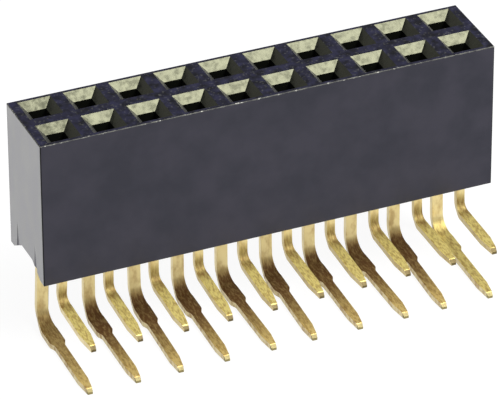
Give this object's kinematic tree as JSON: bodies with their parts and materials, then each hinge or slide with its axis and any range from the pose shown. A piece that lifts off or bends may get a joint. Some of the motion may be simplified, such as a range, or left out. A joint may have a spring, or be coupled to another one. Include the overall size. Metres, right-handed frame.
{
  "type": "female pin header strip",
  "caption": "Right-angle female pin header: black moulded housing with two rows of square lead-in sockets and gold-plated stamped contacts whose bent tails solder into a board.",
  "frame": {"origin": "Centre of the bounding box in X and Y, on the plane under the lower row of tails.", "axes": "+X along the strip, +Z out of the mating face where posts enter, -Y the way the solder tails point, towards the board."},
  "size_m": [0.0258, 0.0082, 0.0135],
  "materials": {
    "housing_plastic": "black glass-filled polyester, injection moulded, satin to gloss",
    "contact_gold": "stamped and bent phosphor bronze with a thin gold flash"
  },
  "bodies": {
    "root": {"housing": "housing_plastic", "contact_front_01": "contact_gold", "contact_front_02": "contact_gold", "contact_front_03": "contact_gold", "contact_front_04": "contact_gold", "contact_front_05": "contact_gold", "contact_front_06": "contact_gold", "contact_front_07": "contact_gold", "contact_front_08": "contact_gold", "contact_front_09": "contact_gold", "contact_front_10": "contact_gold", "contact_back_01": "contact_gold", "contact_back_02": "contact_gold", "contact_back_03": "contact_gold", "contact_back_04": "contact_gold", "contact_back_05": "contact_gold", "contact_back_06": "contact_gold", "contact_back_07": "contact_gold", "contact_back_08": "contact_gold", "contact_back_09": "contact_gold", "contact_back_10": "contact_gold"}
  },
  "joints": []
}
